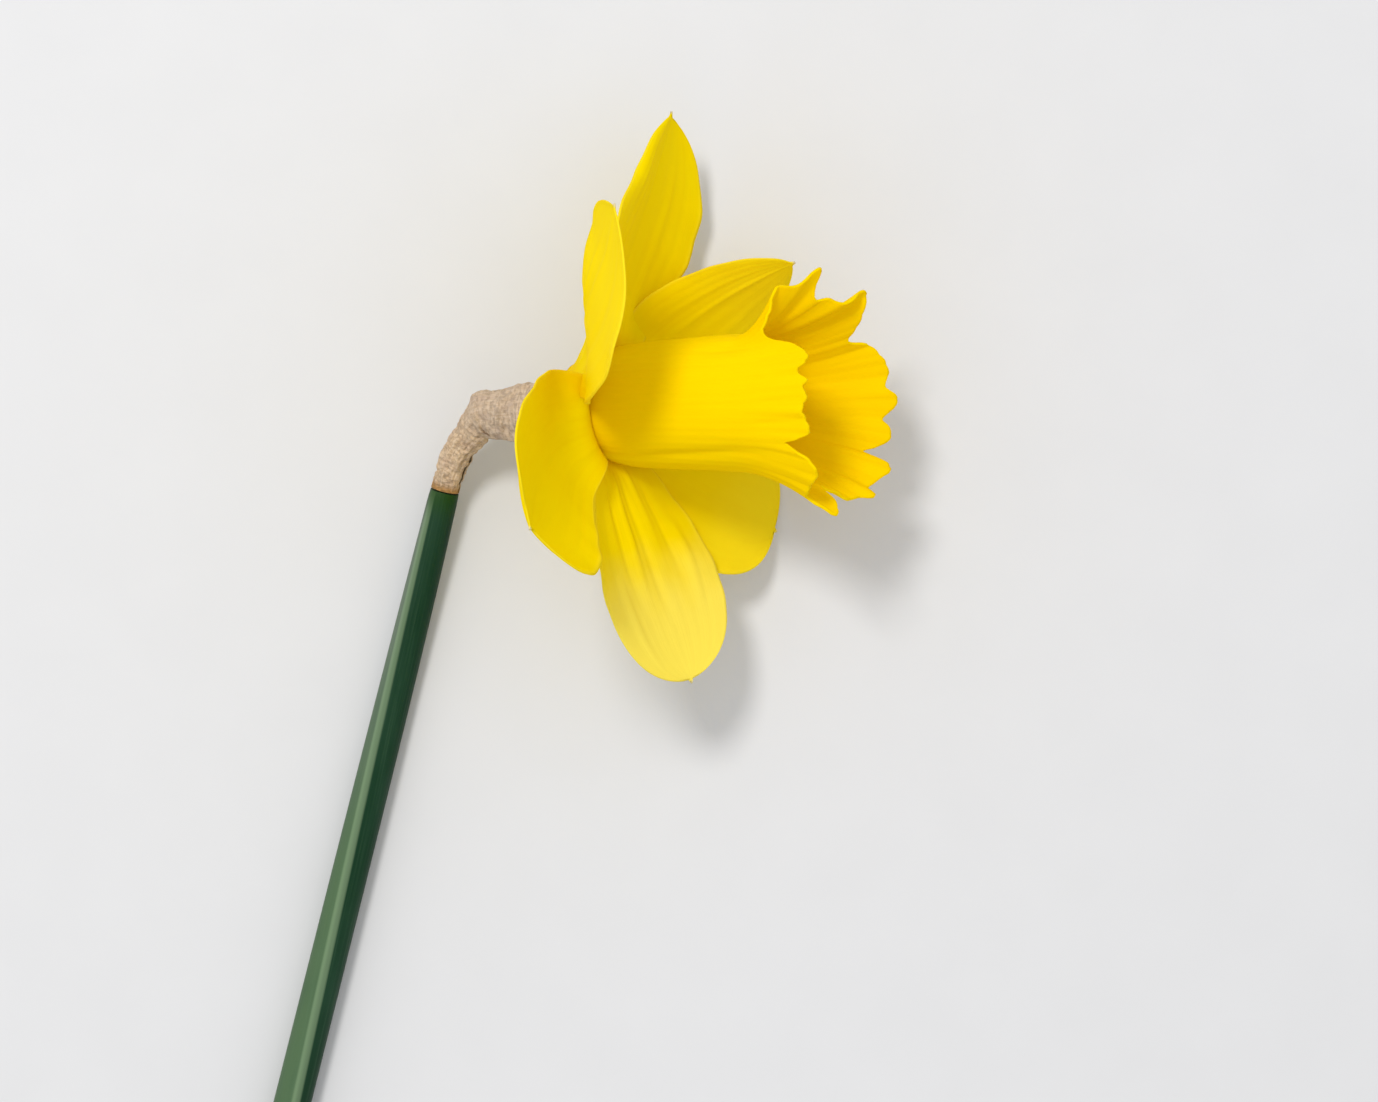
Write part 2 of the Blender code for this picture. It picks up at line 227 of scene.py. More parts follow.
def pipe(sides, rings, place, capped=True):
    """A tube bent into shape. place(angle, f) gives each point and its flow, in millimetres,
    with f from 0 to 1 along the tube."""
    bm = bmesh.new()
    bmesh.ops.create_cone(bm, cap_ends=capped, segments=sides, radius1=1.0, radius2=1.0, depth=1.0)
    long_edges = [edge for edge in bm.edges if abs(edge.verts[0].co.z - edge.verts[1].co.z) > 0.5]
    bmesh.ops.subdivide_edges(bm, edges=long_edges, cuts=rings - 1)
    flow = bm.verts.layers.float_vector.new("flow")
    for vert in bm.verts:
        vert.co, vert[flow] = place(math.atan2(vert.co.y, vert.co.x), vert.co.z + 0.5)
    return bm


SMOOTH_UNDER = 60.0          # edges sharper than this, in degrees, are shaded as edges


def make_piece(name, bm, placing, *materials):
    """A finished, smooth-shaded piece at the origin, with its place in its mesh."""
    bm.transform(placing)
    mesh = bpy.data.meshes.new(name)
    bm.to_mesh(mesh)
    bm.free()
    mesh.shade_smooth()
    mesh.set_sharp_from_angle(angle=math.radians(SMOOTH_UNDER))
    for material in materials:
        mesh.materials.append(material)
    piece = bpy.data.objects.new(name, mesh)
    bpy.context.scene.collection.objects.link(piece)
    return piece


def between(pair, f):
    """From the first of a pair at 0 to the second at 1."""
    return pair[0] + (pair[1] - pair[0]) * f


def stem_keel_angle(along):
    """Which way one of the two edges faces, this far down the stem."""
    return math.radians(between(STEM_KEEL_TURN, along / STEM_LENGTH))


def stem_section(angle, along):
    """Sideways and upward offsets of the section: two blunt edges and fine ribs."""
    radius = STEM_TOP_RADIUS + STEM_GROWTH * (1.0 - math.exp(-along / STEM_GROWTH_LENGTH))
    ridge = abs(math.cos(angle - stem_keel_angle(along)))
    radius *= 1.0 + STEM_KEEL * ridge ** STEM_KEEL_POWER - STEM_FLAT * (1.0 - ridge ** 2)
    radius += STEM_RIB_DEPTH * math.cos(STEM_RIBS * angle + STEM_RIB_DRIFT * along)
    radius -= STEM_NIP * math.exp(-along / STEM_NIP_LENGTH)
    return radius * math.cos(angle), radius * math.sin(angle)


def stem_rest_height(along):
    """Height of the stem's middle where its section rests on the surface."""
    return -min(stem_section(math.radians(angle), along)[1] for angle in range(180, 361, 3))


def stem_sink():
    """How far the top of the stem stands above where it would rest."""
    return CENTRE.z / MM + STEM_TOP.z - stem_rest_height(0.0)


def stem_slope(along):
    """The direction that the stem runs in, this far from its top."""
    fall = 2.0 * stem_sink() / STEM_SINK_LENGTH * max(0.0, 1.0 - along / STEM_SINK_LENGTH)
    return Vector((STEM_HEADING.x, STEM_HEADING.y, -fall)).normalized()


stem_stations = []
for ring in range(STEM_RINGS + 1):
    along = STEM_LENGTH * ring / STEM_RINGS
    point = STEM_TOP + STEM_HEADING * along
    sink = stem_sink() * max(0.0, 1.0 - along / STEM_SINK_LENGTH) ** 2
    point.z = stem_rest_height(along) + sink - CENTRE.z / MM
    sideways = Vector((0.0, 0.0, 1.0)).cross(STEM_HEADING).normalized()
    stem_stations.append((point, sideways, stem_slope(along).cross(sideways)))


def stem_place(angle, f):
    along = STEM_LENGTH * f
    point, sideways, upward = stem_stations[round(f * STEM_RINGS)]
    across, up = stem_section(angle, along)
    keel = stem_keel_angle(along)
    flow = (math.cos(angle - keel), math.sin(angle - keel), along)
    return point + sideways * across + upward * up, flow


stem_bm = pipe(STEM_SIDES, STEM_RINGS, stem_place)
stem_caps = [face for face in stem_bm.faces if len(face.verts) > 4]
stem_cut = min(stem_caps, key=lambda face: face.calc_center_median().y)
for inset, depth in CUT_STEPS:
    bmesh.ops.inset_individual(stem_bm, faces=[stem_cut], thickness=inset, depth=depth)
stem_end = stem_stations[-1][0]
for face in stem_bm.faces:
    centre = face.calc_center_median()
    beyond = (centre - stem_end).dot(STEM_HEADING)
    off_middle = (centre - stem_end - STEM_HEADING * beyond).length
    if beyond > -PITH_DEPTH and off_middle < STEM_TOP_RADIUS + STEM_GROWTH - RIND:
        face.material_index = 1

green, _, green_flow = new_material("stem_skin")
rib_noise = green_flow.spread(9.0, 9.0, 0.05).noise(1.0, 4.0, 0.6)
blotches = green_flow.spread(0.8, 0.8, 0.06).noise(1.0, 3.0)
# Painted light and shade: the side past one edge is painted as a lit strip, the rest as a dark side
# in shade.
lit_side = green_flow.part(1).step(-0.10, 0.16)
# Painted highlight: a lighter line along each of the two edges.
keel_highlight = green_flow.part(0).size().step(0.965, 0.995)
# Painted shade: the top 6 mm, under the spathe, is painted darker.
spathe_shade = green_flow.part(2).step(6.0, 0.0)
painted_lit_strip_colour = green_flow.part(2).step(15.0, 75.0).mix(STEM_PAINTED_LIT, STEM_PAINTED_LIT_LOWER)
green_colour = lit_side.mix(STEM_PAINTED_SHADE, painted_lit_strip_colour)
green_colour = (blotches.step(0.35, 0.75) * 0.30).mix(green_colour, STEM_BLOTCH)
green_colour = (rib_noise.step(0.45, 0.8) * 0.10).mix(green_colour, STEM_RIB)
green_colour = (keel_highlight * 0.45).mix(green_colour, STEM_PAINTED_RIDGE_HIGHLIGHT)
green_colour = (spathe_shade * 0.8).mix(green_colour, STEM_SHADE_UNDER_SPATHE)
dress(green, colour=green_colour, roughness=rib_noise * 0.15 + 0.42, specular=0.12,
      normal=bump(rib_noise, 0.00004))

pith, pith_place, _ = new_material("stem_pith")
pith_cells = pith_place.node("ShaderNodeTexVoronoi", {}, {"Vector": pith_place, "Scale": 2600.0})
pith_colour = pith_cells.step(0.1, 0.7).mix(PITH_COLOUR, PITH_CELL_COLOUR)
dress(pith, colour=pith_colour, roughness=0.6, specular=0.4, normal=bump(pith_cells, 0.00008))

stem = make_piece("stem_stalk", stem_bm, NECK, green, pith)
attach(stem, "root")
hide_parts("stem")

# ---------------------------------------------------------------------------------------------
# Spathe: the sheath that covered the bud, now dry, tan and papery, with long fibres and cross
# wrinkles where the neck bends. It is fixed to the top of the stem, and it is split down the
# side that the neck bends towards.
# ---------------------------------------------------------------------------------------------
GAP = 0.3                    # left between two pieces that meet end to end
OVARY_BOTTOM = -22.3         # along the flower's axis, as SPATHE_END is
SPATHE_END = -10.5
SPATHE_NECK_ROWS = 70
SPATHE_OVARY_ROWS = 36
SPATHE_COLUMNS = 96
SPATHE_RADII = ((0.0, 2.55), (0.05, 2.45), (0.20, 2.55), (0.38, 2.95), (0.50, 3.40), (0.58, 3.65),
                (0.66, 3.90), (0.80, 4.80), (0.90, 5.20), (1.0, 5.5))
SPATHE_SAG = Vector((0.5, -1.25, 0.0))
SPATHE_TUCK = Vector((0.9, -0.45, 0.0))
SPATHE_SPLIT = (6.0, 40.0)   # half the split's angle, at the bottom and at the mouth
SPATHE_SPLIT_SIDE = Vector((0.7, -0.7, 0.0))
SPATHE_WALL = 0.22
NECK_EASE = (3.0, 3.0)
SAG_FROM = 0.25
SAG_LENGTH = 0.30
# Where along the sheath each of these is, and how far it spreads.
TUCK_AT = (0.46, 0.17)
BEND_AT = (0.52, 0.13)
KNUCKLE_AT = (0.61, 0.030)
HOLLOW_AT = (0.59, 0.030)
LIP_AT = (0.51, 0.045)
# How deep each of these is, how close round the sheath, and how close along it.
FIBRES = (0.24, 6.0, 4.0)
FOLDS = (0.95, 1.5, 11.0)
FINE_FOLDS = (0.42, 3.5, 34.0)
CREASE_DEPTH = 0.16
CREASE_TURNS = 105.0
KNUCKLE_HEIGHT = 0.60
HOLLOW_DEPTH = 1.2
LIP_HEIGHT = 0.9
TORN_FROM = 0.9
TORN_DEPTH = 16.0
SPATHE_FLOW = 34.0           # the flow along the whole sheath, roughly its length
SPATHE_TAN = (0.62, 0.44, 0.27)
SPATHE_PALE = (0.78, 0.61, 0.42)
SPATHE_BROWN = (0.50, 0.34, 0.25)
SPATHE_GREY = (0.50, 0.42, 0.37)
# Painted shade, in the wrinkles and in the fold at the bend.
SPATHE_PAINTED_SHADE = (0.22, 0.13, 0.075)
SPATHE_BASE = (0.50, 0.27, 0.09)
SPATHE_GLOW = (0.55, 0.38, 0.22)


def neck_path(count):
    """The smooth line from the top of the stem up to the bottom of the ovary."""
    up_stem = -stem_slope(0.0)
    bottom = STEM_TOP + up_stem * GAP
    top = AXIS * (OVARY_BOTTOM - GAP)
    bottom_handle = bottom + up_stem * NECK_EASE[0]
    top_handle = top - AXIS * NECK_EASE[1]
    return interpolate_bezier(bottom, bottom_handle, top_handle, top, count)


def path_frames(points, side):
    """For each point of a path: the point, and two directions square to the path."""
    frames = []
    for index, point in enumerate(points):
        ahead = points[min(index + 1, len(points) - 1)]
        behind = points[max(index - 1, 0)]
        tangent = (ahead - behind).normalized()
        square = (side - tangent * side.dot(tangent)).normalized()
        frames.append((point, square, tangent.cross(square)))
    return frames


def sheet(rows, columns, place):
    """A sheet of rows x columns quads. place(row, column) gives each point and its flow."""
    bm = bmesh.new()
    bmesh.ops.create_grid(bm, x_segments=rows, y_segments=columns, size=0.5)
    flow = bm.verts.layers.float_vector.new("flow")
    for vert in bm.verts:
        row = round((vert.co.x + 0.5) * rows)
        column = round((vert.co.y + 0.5) * columns)
        vert.co, vert[flow] = place(row, column)
    return bm


def add_wall(piece, thickness, group=None, thin=1.0):
    """Give a thin surface its wall, half on each side, thinner where the group is 0."""
    wall = piece.modifiers.new("wall", "SOLIDIFY")
    wall.thickness = thickness * MM
    wall.offset = 0.0
    if group:
        wall.vertex_group = group
        wall.thickness_vertex_group = thin


def clamped(value):
    """The value, kept between 0 and 1."""
    return min(max(value, 0.0), 1.0)


def hump(value, top, spread):
    """1 at the top, and falling smoothly to 0 on both sides of it."""
    return math.exp(-((value - top) / spread) ** 2)


def ring_point(radius, angle, z):
    """A point this far from the axis, at this angle round it and this far along it."""
    return Vector((radius * math.cos(angle), radius * math.sin(angle), z))


def round_noise(angle, f, depth, around, along):
    """Noise that closes on itself round a tube, from -depth to depth."""
    return depth * noise.noise(ring_point(around, angle, f * along))


spathe_points = neck_path(SPATHE_NECK_ROWS)
for step in range(1, SPATHE_OVARY_ROWS + 1):
    reach = OVARY_BOTTOM + (SPATHE_END - OVARY_BOTTOM) * step / SPATHE_OVARY_ROWS
    spathe_points.append(AXIS * reach)
spathe_frames = path_frames(spathe_points, SPATHE_SPLIT_SIDE)
SPATHE_ROWS = len(spathe_points) - 1
spathe_f, spathe_r = zip(*SPATHE_RADII)


def spathe_shift(f):
    """How far the sheath, and the stalk in it, hang off the smooth line."""
    sag = clamped((f - SAG_FROM) / SAG_LENGTH) ** 2
    return SPATHE_SAG * sag + SPATHE_TUCK * hump(f, *TUCK_AT)


def spathe_place(row, column):
    f = row / SPATHE_ROWS
    point, square, third = spathe_frames[row]
    across = 2.0 * column / SPATHE_COLUMNS - 1.0
    half = math.radians(180.0 - between(SPATHE_SPLIT, f ** 1.5))
    angle = math.pi + half * across
    radius = float(np.interp(f, spathe_f, spathe_r))
    inner_side = max(0.0, math.cos(angle))
    wave = math.sin(f * CREASE_TURNS + 2.0 * math.sin(angle * 2.0))
    relief = round_noise(angle, f, *FIBRES) + round_noise(angle, f, *FINE_FOLDS)
    relief += round_noise(angle, f, *FOLDS) * f ** 0.7
    relief += CREASE_DEPTH * wave * hump(f, *BEND_AT) * (0.3 + inner_side)
    radius += relief * clamped(f * 8.0)
    radius += KNUCKLE_HEIGHT * hump(f, *KNUCKLE_AT) * max(0.0, -math.cos(angle + 0.5))
    radius += LIP_HEIGHT * hump(f, *LIP_AT) * max(0.0, math.cos(angle - 0.2)) ** 2
    radius -= HOLLOW_DEPTH * hump(f, *HOLLOW_AT) * max(0.0, math.cos(angle - 0.5)) ** 3
    torn = TORN_DEPTH * noise.noise(Vector((across * 4.0, 3.0, 0.0))) * max(0.0, f - TORN_FROM)
    offset = square * math.cos(angle) + third * math.sin(angle)
    flow = ring_point(radius, angle, f * SPATHE_FLOW)
    return point + spathe_shift(f) + offset * radius + AXIS * torn, flow


papery, _, papery_flow = new_material("spathe_paper")
fibre_field = papery_flow.spread(1.6, 1.6, 0.10).noise(2.2, 5.0, 0.65)
patch_field = papery_flow.spread(0.5, 0.5, 0.25).noise(1.0, 3.0, 0.6)
wrinkle_field = papery_flow.spread(0.45, 0.45, 1.7).noise(1.0, 4.0, 0.6)
spathe_colour = fibre_field.step(0.35, 0.68).mix(SPATHE_TAN, SPATHE_PALE)
spathe_colour = (patch_field.step(0.45, 0.75) * 0.45).mix(spathe_colour, SPATHE_BROWN)
wrinkle_lines = 1.0 - (wrinkle_field - 0.52).size().step(0.0, 0.035)
# Painted shade: thin dark lines along the wrinkles.
spathe_colour = (wrinkle_lines * 0.26).mix(spathe_colour, SPATHE_PAINTED_SHADE)
spathe_colour = (papery_flow.part(2).step(14.0, 22.0) * 0.30).mix(spathe_colour, SPATHE_GREY)
# Painted shade: a dark patch in the fold on the inner side of the bend.
fold_shade = (papery_flow.part(2) - 20.2).size().step(1.7, 0.5) * papery_flow.part(0).step(1.0, 2.2)
spathe_colour = (fold_shade * 0.8).mix(spathe_colour, SPATHE_PAINTED_SHADE)
base_band = (papery_flow.part(2) + fibre_field * 2.0).step(5.0, 2.0)
spathe_colour = base_band.mix(spathe_colour, SPATHE_BASE)
spathe_height = fibre_field * 0.6 + wrinkle_field * 0.8 - wrinkle_lines * 0.5
dress(papery, 0.18, SPATHE_GLOW, colour=spathe_colour, roughness=fibre_field * 0.2 + 0.62,
      specular=0.25, normal=bump(spathe_height, 0.00015))

spathe = make_piece("spathe_sheath", sheet(SPATHE_ROWS, SPATHE_COLUMNS, spathe_place), NECK, papery)
add_wall(spathe, SPATHE_WALL)
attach(spathe, "root")
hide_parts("spathe")

# ---------------------------------------------------------------------------------------------
# Neck: the pedicel, a short green stalk inside the spathe, and the ovary, three-lobed and
# ribbed, that it carries. The floral tube grows from the ovary's top.
# ---------------------------------------------------------------------------------------------
OVARY_TOP = -14.3
OVARY_RADIUS = 2.4
OVARY_END_RADIUS = 1.7
OVARY_GRID = (72, 32)
OVARY_LOBE = 0.07
OVARY_SEAM = 0.025
PEDICEL_RADIUS = (1.35, 1.6)
PEDICEL_SIDES = 32
PEDICEL_RINGS = 48
PEDICEL_RIB = 0.03
PEDICEL_FLOW = 18.0
NECK_GREEN = (0.16, 0.30, 0.06)
NECK_YELLOW = (0.38, 0.44, 0.08)

pedicel_frames = path_frames(neck_path(PEDICEL_RINGS + 1), SPATHE_SPLIT_SIDE)


def pedicel_place(angle, f):
    point, square, third = pedicel_frames[round(f * PEDICEL_RINGS)]
    radius = between(PEDICEL_RADIUS, f ** 3) * (1.0 + PEDICEL_RIB * math.cos(8.0 * angle))
    flow = ring_point(radius, angle, f * PEDICEL_FLOW)
    shift = spathe_shift(f * (SPATHE_NECK_ROWS - 1) / SPATHE_ROWS) * (1.0 - f ** 6)
    return point + shift + (square * math.cos(angle) + third * math.sin(angle)) * radius, flow


def ovary_place(angle, f):
    lobes = 1.0 + OVARY_LOBE * math.cos(3.0 * angle)
    lobes -= OVARY_SEAM * abs(math.cos(1.5 * angle)) ** 24
    radius = between((OVARY_END_RADIUS, OVARY_RADIUS), math.sin(math.pi * f) ** 0.8) * lobes
    point = ring_point(radius, angle, between((OVARY_BOTTOM, OVARY_TOP), f))
    return point, point


neck_skin, _, neck_flow = new_material("neck_skin")
neck_streaks = neck_flow.spread(1.4, 1.4, 0.12).noise(1.5, 4.0, 0.6)
neck_colour = neck_streaks.step(0.35, 0.7).mix(NECK_GREEN, NECK_YELLOW)
dress(neck_skin, colour=neck_colour, roughness=neck_streaks * 0.2 + 0.35, specular=0.4,
      normal=bump(neck_streaks, 0.00008))

pedicel_bm = pipe(PEDICEL_SIDES, PEDICEL_RINGS, pedicel_place)
pedicel = make_piece("pedicel_stalk", pedicel_bm, NECK, neck_skin)
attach(pedicel, "root")
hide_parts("pedicel")

ovary = make_piece("ovary_body", pipe(*OVARY_GRID, ovary_place), HEAD, neck_skin)
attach(ovary, "root")
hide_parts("ovary")

# ---------------------------------------------------------------------------------------------
# Floral tube: the funnel below the petals, greenish at the ovary and yellow at its rim, with six
# faint ribs that run up into the petals.
# ---------------------------------------------------------------------------------------------
TUBE_BOTTOM = -14.0
TUBE_TOP = -0.9
TUBE_WALL = 0.6
TUBE_GRID = (96, 40)
TUBE_RADII = (2.8, 7.2)
TUBE_RIB = 0.10
TUBE_GREEN = (0.36, 0.42, 0.05)
TUBE_GLOW = (0.85, 0.66, 0.02)
PETAL_YELLOW = (0.95, 0.775, 0.0)


def tube_place(angle, f):
    radius = between(TUBE_RADII, f ** 1.5) + TUBE_RIB * math.cos(6.0 * angle)
    point = ring_point(radius, angle, between((TUBE_BOTTOM, TUBE_TOP), f))
    return point, point


tube_skin, _, tube_flow = new_material("tube_skin")
tube_streaks = tube_flow.spread(1.0, 1.0, 0.1).noise(1.3, 4.0, 0.6)
tube_height = tube_flow.part(2) + tube_streaks * 4.0
tube_colour = tube_height.step(-12.0, -1.5).mix(TUBE_GREEN, PETAL_YELLOW)
dress(tube_skin, 0.15, TUBE_GLOW, colour=tube_colour, roughness=tube_streaks * 0.2 + 0.42,
      specular=0.3, normal=bump(tube_streaks, 0.00006))

tube_bm = pipe(*TUBE_GRID, tube_place, capped=False)
tube = make_piece("floral_tube_funnel", tube_bm, HEAD, tube_skin)
add_wall(tube, TUBE_WALL)
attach(tube, "root")
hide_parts("floral_tube")

# ---------------------------------------------------------------------------------------------
# Petals: six tepals in two whorls of three, soft, thin and satiny. Each starts as a narrow claw
# that wraps the tube, widens past its middle and ends in a tiny pale point. The inner three sit
# in front of the outer three. Veins run from base to tip, and some margins curl back.
# ---------------------------------------------------------------------------------------------
PETAL_WALL = 0.36
PETAL_EDGE = 0.24            # share of the wall that is left at the margin
PETAL_RING = 8.3
PETAL_BASE_LEAN = 75.0
PETAL_BASE_WRAP = 36.0
PETAL_CLAW = 0.05
PETAL_ROWS = 110
PETAL_COLUMNS = 56
MUCRO = 0.018                # part of the length that is the small point at the tip
ROLL_START = 0.58            # a margin that curls back rolls from here outwards
WAIST_SPREAD = 0.12
RIB_SPREAD = 0.065
VEINS = 30.0
VEIN_DEPTH = 0.035
RIPPLE_DEPTH = 0.35
MARGIN_DEPTH = 0.55
PALE_YELLOW = (0.99, 0.87, 0.12)
# Deep yellow for the veins, and for painted shade at the petals' base.
VEIN_AND_SHADE_YELLOW = (0.92, 0.62, 0.0)
WARM_YELLOW = (0.97, 0.83, 0.0)
PETAL_GLOW = (1.0, 0.78, 0.0)
TIP_COLOUR = (0.80, 0.74, 0.42)
NO_CURL = (0.0, 0.0, 0.5)
NO_WAIST = (0.5, 0.0)
MUCRO_TAPER = 0.42
MUCRO_END = 0.06
MUCRO_WIDEST = 0.9
WRAP_LENGTH = 0.12           # these three are shares of the petal's length
CUP_LENGTH = 0.3
CURL_LENGTH = 0.25
MIDRIB_STATIONS = 500
SECTION_STEPS = 8
ROW_CROWDING = 1.6           # the rows lie closer together towards the tip

# ring is where the claw stands round the tube, heading is where the blade points, and start is
# how far along the axis it begins. lean is measured from the plane across the axis, at base and
# tip, and bow is added half way. sway bends the blade sideways, twist turns it about its midrib.
# Each side of the blade is (width, growth, bluntness), first the lower-angle side. waist draws
# the other side in, as (how far along, by how much). cup hollows the blade. curl turns the two
# margins back, as (the first side, the other side, where it starts). shoulder is how far the
# petal rises round the trumpet, how far from its base, and its fade.
# Each rib is (place across, depth in mm, where it starts, where it ends).
PETALS = {
    "outer_tepal_1": dict(
        ring=0, heading=-9.5, start=-2.5, length=49.0, base=4.4, lean=(14.5, 4.0), bow=4.0,
        sides=((17.9, 1.0, 0.52), (15.4, 0.85, 0.92)), waist=(0.69, 3.1), sway=-9.5,
        shoulder=(2.8, 3.5, 7.0), twist=(-1.0, 7.0), cup=24.0, curl=(0.0, 62.0, 0.45), pale=0.0,
        ribs=((0.0, 0.30, 0.15, 1.0), (-0.45, -0.16, 0.2, 0.9), (0.42, -0.20, 0.2, 0.9))),
    "inner_tepal_1": dict(
        ring=60, heading=60.0, start=-3.3, length=46.6, base=3.2, lean=(7.5, 12.0), bow=25.0,
        sides=((11.2, 1.7, 0.52), (21.6, 1.50, 0.90)), waist=NO_WAIST, sway=-33.0,
        shoulder=(2.9, 12.0, 7.0), twist=(6.5, 38.0), cup=-6.0, curl=NO_CURL, pale=0.05,
        ribs=((0.0, 0.35, 0.1, 1.0), (-0.5, 0.28, 0.2, 0.9), (0.45, -0.22, 0.2, 0.9))),
    "outer_tepal_2": dict(
        ring=120, heading=105.5, start=-2.5, length=48.6, base=5.0, lean=(3.0, 19.0), bow=1.5,
        sides=((17.6, 0.58, 0.20), (17.9, 1.25, 0.50)), waist=NO_WAIST, sway=15.0,
        shoulder=(3.8, 3.5, 7.0), twist=(9.5, 10.5), cup=32.0, curl=(16.0, 0.0, 0.60), pale=0.0,
        ribs=((0.0, 0.25, 0.1, 1.0), (0.35, -0.18, 0.05, 0.7), (-0.35, -0.16, 0.05, 0.7))),
    # The large pale share of this one is painted sheen towards its tip.
    "inner_tepal_2": dict(
        ring=180, heading=184.0, start=-1.5, length=46.5, base=5.0, lean=(36.0, 22.0), bow=-11.0,
        sides=((14.6, 1.0, 0.52), (14.6, 1.0, 0.52)), waist=NO_WAIST, sway=3.0,
        shoulder=(1.1, 3.5, 7.0), twist=(11.0, 25.5), cup=9.5, curl=NO_CURL, pale=0.95,
        ribs=((0.02, 0.40, 0.1, 0.78), (0.27, -0.40, 0.05, 0.60), (-0.25, -0.46, 0.05, 0.66),
              (0.74, -0.55, 0.35, 0.74), (-0.72, -0.50, 0.50, 0.92), (0.50, 0.42, 0.15, 0.70),
              (-0.47, 0.48, 0.10, 0.72), (-0.12, 0.22, 0.2, 0.60), (0.14, -0.20, 0.2, 0.70))),
    "outer_tepal_3": dict(
        ring=240, heading=228.5, start=-2.5, length=40.3, base=5.0, lean=(25.5, 27.7), bow=11.4,
        sides=((16.0, 1.0, 0.52), (16.0, 1.0, 0.52)), waist=NO_WAIST, sway=11.5,
        shoulder=(2.0, 3.5, 7.0), twist=(2.5, 2.5), cup=16.5, curl=NO_CURL, pale=0.10,
        ribs=((0.0, 0.22, 0.1, 1.0), (0.4, -0.15, 0.2, 0.8), (-0.4, -0.15, 0.2, 0.8))),
    "inner_tepal_3": dict(
        ring=300, heading=314.0, start=-1.5, length=42.0, base=5.0, lean=(26.5, 67.0), bow=-3.5,
        sides=((15.4, 1.0, 0.72), (9.0, 0.66, 0.64)), waist=NO_WAIST, sway=20.0,
        shoulder=(1.9, 3.5, 7.0), twist=(-24.0, 0.0), cup=-14.0, curl=NO_CURL, pale=0.05,
        ribs=((0.05, -0.30, 0.1, 1.0), (0.5, -0.10, 0.2, 0.9), (-0.5, -0.10, 0.2, 0.9))),
}


def side_width(s, side, base, waist):
    """Width of one side of the blade at s along it: claw, blade, and the small point at the tip."""
    width, growth, bluntness = side
    blade_s = min(s / (1.0 - MUCRO), 1.0)
    widest = growth / (growth + bluntness)
    claw = base * (1.0 - blade_s) ** 2
    blade = width - base * (1.0 - widest) ** 2
    blade *= (blade_s / widest) ** growth * ((1.0 - blade_s) / (1.0 - widest)) ** bluntness
    blade -= waist[1] * hump(s, waist[0], WAIST_SPREAD)
    point = MUCRO_TAPER * (1.0 - s) / MUCRO + MUCRO_END
    return claw + max(blade, min(point, MUCRO_WIDEST))


def petal_midrib(shape):
    """Stations along the midrib: points, directions across and normals."""
    count = MIDRIB_STATIONS
    heading = math.radians(shape["heading"])
    out = np.array([math.cos(heading), math.sin(heading), 0.0])
    side = np.array([-math.sin(heading), math.cos(heading), 0.0])
    axis = np.array([0.0, 0.0, 1.0])
    ring = math.radians(shape["ring"])
    f = np.linspace(0.0, 1.0, count + 1)[:, None]
    claw = np.exp(-f / PETAL_CLAW)
    lean_base, lean_tip = shape["lean"]
    lean = lean_base + (lean_tip - lean_base) * f + shape["bow"] * np.sin(np.pi * f)
    lean = np.radians(lean + (PETAL_BASE_LEAN - lean_base) * claw)
    sway = np.radians(shape["sway"] * f + (shape["ring"] - shape["heading"]) * claw)
    outward = np.cos(sway) * out + np.sin(sway) * side
    direction = np.cos(lean) * outward + np.sin(lean) * axis
    steps = (direction[1:] + direction[:-1]) / 2.0 * shape["length"] / count
    first = np.array([PETAL_RING * math.cos(ring), PETAL_RING * math.sin(ring), shape["start"]])
    points = first + np.vstack([np.zeros(3), np.cumsum(steps, axis=0)])
    normal = -np.sin(lean) * outward + np.cos(lean) * axis
    across = -np.sin(sway) * out + np.cos(sway) * side
    twist_base, twist_tip = shape["twist"]
    twist = np.radians(twist_base + (twist_tip - twist_base) * f) * (1.0 - claw)
    turned_across = np.cos(twist) * across + np.sin(twist) * normal
    turned_normal = -np.sin(twist) * across + np.cos(twist) * normal
    return points, turned_across, turned_normal


def petal_section(s, shape):
    """Sideways and upward offsets across a section that is 2 wide, from margin to margin."""
    wrap = math.exp(-s / WRAP_LENGTH) * PETAL_BASE_WRAP
    bend = math.radians(shape["cup"] * (1.0 - hump(s, 0.0, CUP_LENGTH)) + wrap)
    steps = PETAL_COLUMNS * SECTION_STEPS
    t = np.linspace(-1.0, 1.0, steps + 1)
    minus_curl, plus_curl, curl_start = shape["curl"]
    curling = clamped((s - curl_start) / CURL_LENGTH)
    rolled = np.clip((np.abs(t) - ROLL_START) / (1.0 - ROLL_START), 0.0, 1.0) * curling
    curl = np.where(t > 0.0, math.radians(plus_curl), -math.radians(minus_curl))
    angle = bend * t - curl * rolled
    width = np.cumsum(np.cos(angle)) * 2.0 / steps
    height = np.cumsum(np.sin(angle)) * 2.0 / steps
    width -= width[steps // 2]
    height -= height[steps // 2]
    return width[::SECTION_STEPS], height[::SECTION_STEPS]


def shoulder_rise(along, rise, top, fade):
    """How much the petal rises round the trumpet, this far from its base."""
    up = clamped(along / top)
    down = hump(max(along, top), top, fade)
    return rise * up * up * (3.0 - 2.0 * up) * down


